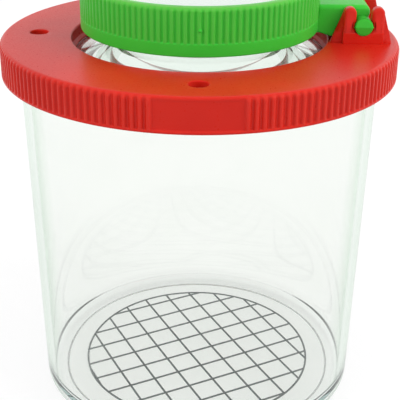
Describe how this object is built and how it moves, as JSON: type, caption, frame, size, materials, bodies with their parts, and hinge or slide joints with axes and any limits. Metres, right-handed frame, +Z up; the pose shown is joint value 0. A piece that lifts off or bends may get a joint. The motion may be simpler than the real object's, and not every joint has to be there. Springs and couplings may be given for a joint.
{
  "type": "bug catcher jar",
  "caption": "Clear round beaker with a gridded base, a knurled lid ring holding a lens and air holes, and a knurled flip-up cap with a second lens for viewing insects.",
  "frame": {"origin": "centre of the beaker's foot, on the surface it stands on", "axes": "+Z up along the beaker's axis, +X towards the hinge, -Y towards the lid's blank panel"},
  "size_m": [0.069, 0.069, 0.0791],
  "materials": {
    "clear_plastic": "clear, glossy",
    "lens_plastic": "clear, polished",
    "red_plastic": "satin moulded",
    "green_plastic": "satin moulded",
    "grid_ink": "printed line"
  },
  "bodies": {
    "jar": {"beaker": "clear_plastic", "measuring_grid": "grid_ink"},
    "lid": {"lid_ring": "red_plastic", "lid_lens": "lens_plastic"},
    "flip": {"flip_cap": "green_plastic", "flip_lens": "lens_plastic"}
  },
  "joints": [
    {"name": "lid_lift", "type": "slide", "parent": "jar", "child": "lid", "axis": [0, 0, 1], "range_m": [0, 0.05]},
    {"name": "lens_flip", "type": "hinge", "parent": "lid", "child": "flip", "pos_m": [0.02775, 0, 0.07015], "axis": [0, 1, 0], "range_deg": [0, 130]}
  ]
}
